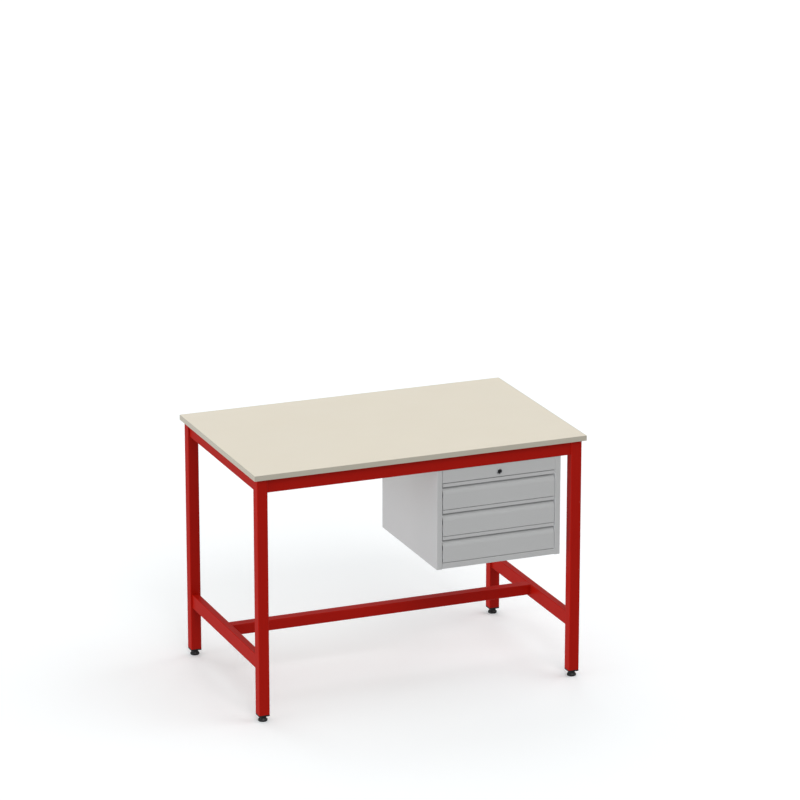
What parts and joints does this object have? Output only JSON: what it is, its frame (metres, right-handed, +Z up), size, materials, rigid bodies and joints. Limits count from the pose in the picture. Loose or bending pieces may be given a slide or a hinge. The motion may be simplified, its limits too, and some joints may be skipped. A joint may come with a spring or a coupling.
{
  "type": "workbench with drawers",
  "caption": "Workbench with a cream laminate top on a red square-tube frame with screw feet, and a grey steel drawer cabinet with a central lock hung under its right side.",
  "frame": {"origin": "on the floor, under the centre of the worktop", "axes": "+X to the right along the worktop, +Y to the back, +Z up; the drawers open towards -Y"},
  "size_m": [1.2, 0.75, 0.873],
  "materials": {
    "frame_paint": "red powder coat, satin, fine orange peel",
    "cabinet_paint": "light grey powder coat, satin",
    "zinc_steel": "bright zinc plate",
    "nylon": "natural white nylon",
    "foot_plastic": "black moulded plastic, slight sheen",
    "laminate": "cream decorative laminate, fine matt texture",
    "backing": "plain backing laminate",
    "edge_strip": "cream edge strip, satin",
    "chipboard": "raw chipboard",
    "lock_chrome": "polished chrome plate",
    "lock_plug_metal": "dark nickel plate"
  },
  "bodies": {
    "bench": {"leg_front_left": "frame_paint", "leg_front_right": "frame_paint", "leg_back_left": "frame_paint", "leg_back_right": "frame_paint", "top_rail_front": "frame_paint", "top_rail_back": "frame_paint", "top_rail_left": "frame_paint", "top_rail_right": "frame_paint", "end_rail_left": "frame_paint", "end_rail_right": "frame_paint", "stretcher": "frame_paint", "worktop_tabs": "frame_paint", "hanger_left": "frame_paint", "hanger_right": "frame_paint", "cabinet_side_left": "cabinet_paint", "cabinet_side_right": "cabinet_paint", "cabinet_bottom": "cabinet_paint", "cabinet_fascia": "cabinet_paint", "cabinet_top": "cabinet_paint", "cabinet_back": "cabinet_paint", "runner_posts": "zinc_steel", "runners_left": "zinc_steel", "runners_right": "zinc_steel", "hanger_bolts": "zinc_steel", "worktop_screws": "zinc_steel", "lock_nut": "zinc_steel", "runner_glides": "nylon", "lock_guides": "nylon", "foot_inserts": "foot_plastic", "worktop_laminate": "laminate", "worktop_backing": "backing", "worktop_edging": "edge_strip", "worktop_core": "chipboard", "lock_housing": "lock_chrome"},
    "drawer_top": {"drawer_front_top": "cabinet_paint", "drawer_tray_top": "cabinet_paint", "drawer_rails_top": "zinc_steel", "drawer_glides_top": "nylon", "drawer_catch_top": "zinc_steel"},
    "drawer_middle": {"drawer_front_middle": "cabinet_paint", "drawer_tray_middle": "cabinet_paint", "drawer_rails_middle": "zinc_steel", "drawer_glides_middle": "nylon", "drawer_catch_middle": "zinc_steel"},
    "drawer_bottom": {"drawer_front_bottom": "cabinet_paint", "drawer_tray_bottom": "cabinet_paint", "drawer_rails_bottom": "zinc_steel", "drawer_glides_bottom": "nylon", "drawer_catch_bottom": "zinc_steel"},
    "lock": {"lock_plug": "lock_plug_metal", "lock_rod": "zinc_steel"},
    "lock_bar": {"lock_bar": "zinc_steel"},
    "foot_front_left": {"foot_base_front_left": "foot_plastic", "foot_stud_front_left": "zinc_steel"},
    "foot_front_right": {"foot_base_front_right": "foot_plastic", "foot_stud_front_right": "zinc_steel"},
    "foot_back_left": {"foot_base_back_left": "foot_plastic", "foot_stud_back_left": "zinc_steel"},
    "foot_back_right": {"foot_base_back_right": "foot_plastic", "foot_stud_back_right": "zinc_steel"}
  },
  "joints": [
    {"name": "drawer_top_slide", "type": "slide", "parent": "bench", "child": "drawer_top", "axis": [0, -1, 0], "range_m": [0, 0.32]},
    {"name": "drawer_middle_slide", "type": "slide", "parent": "bench", "child": "drawer_middle", "axis": [0, -1, 0], "range_m": [0, 0.32]},
    {"name": "drawer_bottom_slide", "type": "slide", "parent": "bench", "child": "drawer_bottom", "axis": [0, -1, 0], "range_m": [0, 0.32]},
    {"name": "lock_turn", "type": "hinge", "parent": "bench", "child": "lock", "pos_m": [0.285, -0.356, 0.779], "axis": [0, -1, 0], "range_deg": [0, 90]},
    {"name": "lock_bar_lift", "type": "slide", "parent": "bench", "child": "lock_bar", "axis": [0, 0, 1], "range_m": [0, 0.008]},
    {"name": "foot_front_left_screw", "type": "slide", "parent": "bench", "child": "foot_front_left", "axis": [0, 0, -1], "range_m": [0, 0.015]},
    {"name": "foot_front_right_screw", "type": "slide", "parent": "bench", "child": "foot_front_right", "axis": [0, 0, -1], "range_m": [0, 0.015]},
    {"name": "foot_back_left_screw", "type": "slide", "parent": "bench", "child": "foot_back_left", "axis": [0, 0, -1], "range_m": [0, 0.015]},
    {"name": "foot_back_right_screw", "type": "slide", "parent": "bench", "child": "foot_back_right", "axis": [0, 0, -1], "range_m": [0, 0.015]}
  ],
  "couplings": [
    {"joint": "lock_turn", "follows": "lock_bar_lift", "rad_per_m": 196.3}
  ]
}
